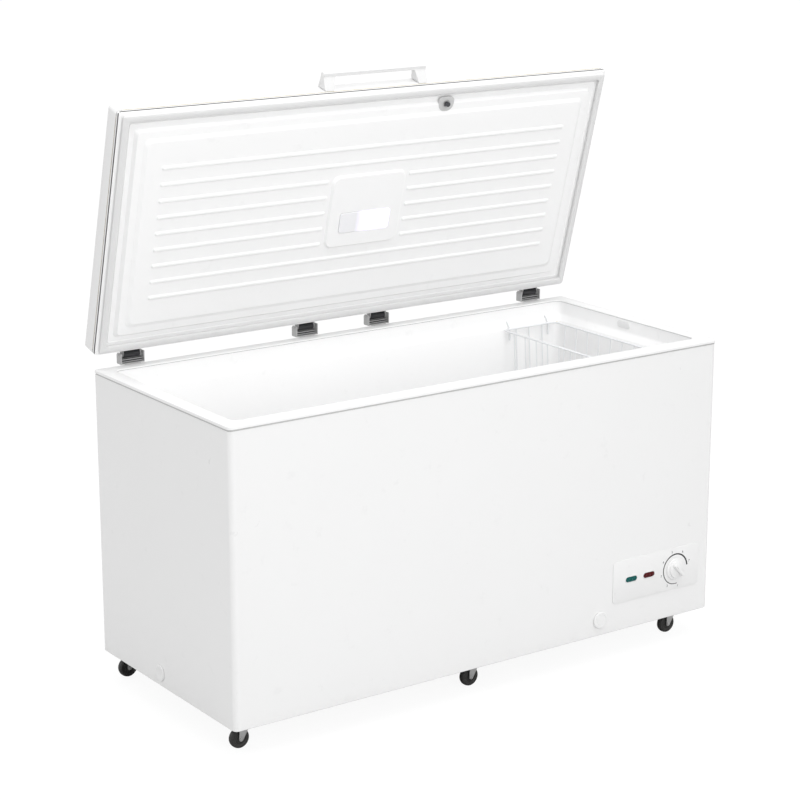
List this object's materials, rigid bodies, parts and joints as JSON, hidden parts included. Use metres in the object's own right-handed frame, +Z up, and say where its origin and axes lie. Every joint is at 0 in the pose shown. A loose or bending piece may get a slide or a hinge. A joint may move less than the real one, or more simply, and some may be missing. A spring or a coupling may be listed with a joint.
{
  "type": "chest freezer",
  "caption": "Long white chest freezer with its insulated lid standing open on rear hinges, a hanging wire basket inside, a control panel at the lower right and castors beneath.",
  "frame": {"origin": "on the floor, at the middle of the box that holds the freezer with its lid open", "axes": "+Z up, +X to the right of someone facing the front, -Y out of the front"},
  "size_m": [1.425, 0.6875, 1.4623],
  "materials": {
    "white_paint": "gloss white enamel",
    "white_plastic": "fine satin texture",
    "liner_white": "satin white coated sheet",
    "foam": "rigid foam, hidden",
    "zinc_steel": "bright zinc plated",
    "copper_tube": "copper coated tube",
    "black_enamel": "black enamel",
    "black_plastic": "matte black",
    "black_rubber": "hard tread rubber",
    "gasket_white": "soft pale seal",
    "green_lens": "translucent green lens",
    "red_lens": "translucent dark red lens",
    "lamp_lens": "lit clear diffuser",
    "wire_white": "white dipped wire",
    "lock_grey": "dark plated"
  },
  "bodies": {
    "cabinet": {"outer_shell": "white_paint", "rear_panel": "zinc_steel", "base_pan": "zinc_steel", "cabinet_foam": "foam", "inner_liner": "liner_white", "rim_frame": "white_plastic", "evaporator_coil": "copper_tube", "condenser_coil": "copper_tube", "compressor": "black_enamel", "bay_grille": "zinc_steel", "thermostat": "white_plastic", "control_panel": "white_plastic", "power_lamp": "green_lens", "alarm_lamp": "red_lens", "side_port_cap": "white_plastic", "cable_gland": "black_plastic", "hinge_base_1": "zinc_steel", "hinge_base_2": "zinc_steel", "hinge_base_3": "zinc_steel", "hinge_base_4": "zinc_steel", "hinge_pin_1": "zinc_steel", "hinge_pin_2": "zinc_steel", "hinge_pin_3": "zinc_steel", "hinge_pin_4": "zinc_steel"},
    "lid": {"lid_outer_pan": "white_paint", "lid_foam": "foam", "lid_inner_panel": "white_plastic", "lid_gasket": "gasket_white", "lid_lamp": "lamp_lens", "lid_handle": "white_plastic", "hinge_leaf_1": "zinc_steel", "hinge_leaf_2": "zinc_steel", "hinge_leaf_3": "zinc_steel", "hinge_leaf_4": "zinc_steel", "hinge_spring_cover_1": "black_plastic", "hinge_spring_cover_2": "black_plastic", "hinge_spring_cover_3": "black_plastic", "hinge_spring_cover_4": "black_plastic"},
    "knob": {"thermostat_knob": "white_plastic"},
    "lock": {"lock_barrel": "lock_grey"},
    "basket": {"wire_basket": "wire_white"},
    "drain_plug": {"drain_cap": "white_plastic"},
    "fork_front_left": {"castor_fork_front_left": "zinc_steel", "castor_axle_front_left": "zinc_steel"},
    "wheel_front_left": {"castor_wheel_front_left": "black_rubber"},
    "fork_front_middle": {"castor_fork_front_middle": "zinc_steel", "castor_axle_front_middle": "zinc_steel"},
    "wheel_front_middle": {"castor_wheel_front_middle": "black_rubber"},
    "fork_front_right": {"castor_fork_front_right": "zinc_steel", "castor_axle_front_right": "zinc_steel"},
    "wheel_front_right": {"castor_wheel_front_right": "black_rubber"},
    "fork_rear_left": {"castor_fork_rear_left": "zinc_steel", "castor_axle_rear_left": "zinc_steel"},
    "wheel_rear_left": {"castor_wheel_rear_left": "black_rubber"},
    "fork_rear_middle": {"castor_fork_rear_middle": "zinc_steel", "castor_axle_rear_middle": "zinc_steel"},
    "wheel_rear_middle": {"castor_wheel_rear_middle": "black_rubber"},
    "fork_rear_right": {"castor_fork_rear_right": "zinc_steel", "castor_axle_rear_right": "zinc_steel"},
    "wheel_rear_right": {"castor_wheel_rear_right": "black_rubber"}
  },
  "joints": [
    {"name": "lid_hinge", "type": "hinge", "parent": "cabinet", "child": "lid", "pos_m": [0, 0.30962, 0.8048], "axis": [-1, 0, 0], "range_deg": [-74.7, 10]},
    {"name": "knob_turn", "type": "hinge", "parent": "cabinet", "child": "knob", "pos_m": [0.595, -0.32218, 0.198], "axis": [0, -1, 0], "range_deg": [-135, 135]},
    {"name": "lock_turn", "type": "hinge", "parent": "lid", "child": "lock", "pos_m": [0.2025, 0.14371, 1.36466], "axis": [0, 0.9646, 0.2639], "range_deg": [0, 90]},
    {"name": "basket_slide", "type": "slide", "parent": "cabinet", "child": "basket", "axis": [-1, 0, 0], "range_m": [0, 1.1]},
    {"name": "drain_cap_pull", "type": "slide", "parent": "cabinet", "child": "drain_plug", "axis": [0, -1, 0], "range_m": [0, 0.04]},
    {"name": "swivel_front_left", "type": "hinge", "parent": "cabinet", "child": "fork_front_left", "pos_m": [-0.645, -0.25568, 0], "axis": [0, 0, 1], "continuous": true},
    {"name": "swivel_front_middle", "type": "hinge", "parent": "cabinet", "child": "fork_front_middle", "pos_m": [0.008, -0.25568, 0], "axis": [0, 0, 1], "continuous": true},
    {"name": "swivel_front_right", "type": "hinge", "parent": "cabinet", "child": "fork_front_right", "pos_m": [0.645, -0.25568, 0], "axis": [0, 0, 1], "continuous": true},
    {"name": "swivel_rear_left", "type": "hinge", "parent": "cabinet", "child": "fork_rear_left", "pos_m": [-0.645, 0.27382, 0], "axis": [0, 0, 1], "continuous": true},
    {"name": "swivel_rear_middle", "type": "hinge", "parent": "cabinet", "child": "fork_rear_middle", "pos_m": [0.008, 0.27382, 0], "axis": [0, 0, 1], "continuous": true},
    {"name": "swivel_rear_right", "type": "hinge", "parent": "cabinet", "child": "fork_rear_right", "pos_m": [0.645, 0.27382, 0], "axis": [0, 0, 1], "continuous": true},
    {"name": "roll_front_left", "type": "hinge", "parent": "fork_front_left", "child": "wheel_front_left", "pos_m": [-0.661, -0.25568, 0.0243], "axis": [0, 1, 0], "continuous": true},
    {"name": "roll_front_middle", "type": "hinge", "parent": "fork_front_middle", "child": "wheel_front_middle", "pos_m": [-0.008, -0.25568, 0.0243], "axis": [0, 1, 0], "continuous": true},
    {"name": "roll_front_right", "type": "hinge", "parent": "fork_front_right", "child": "wheel_front_right", "pos_m": [0.629, -0.25568, 0.0243], "axis": [0, 1, 0], "continuous": true},
    {"name": "roll_rear_left", "type": "hinge", "parent": "fork_rear_left", "child": "wheel_rear_left", "pos_m": [-0.661, 0.27382, 0.0243], "axis": [0, 1, 0], "continuous": true},
    {"name": "roll_rear_middle", "type": "hinge", "parent": "fork_rear_middle", "child": "wheel_rear_middle", "pos_m": [-0.008, 0.27382, 0.0243], "axis": [0, 1, 0], "continuous": true},
    {"name": "roll_rear_right", "type": "hinge", "parent": "fork_rear_right", "child": "wheel_rear_right", "pos_m": [0.629, 0.27382, 0.0243], "axis": [0, 1, 0], "continuous": true}
  ]
}
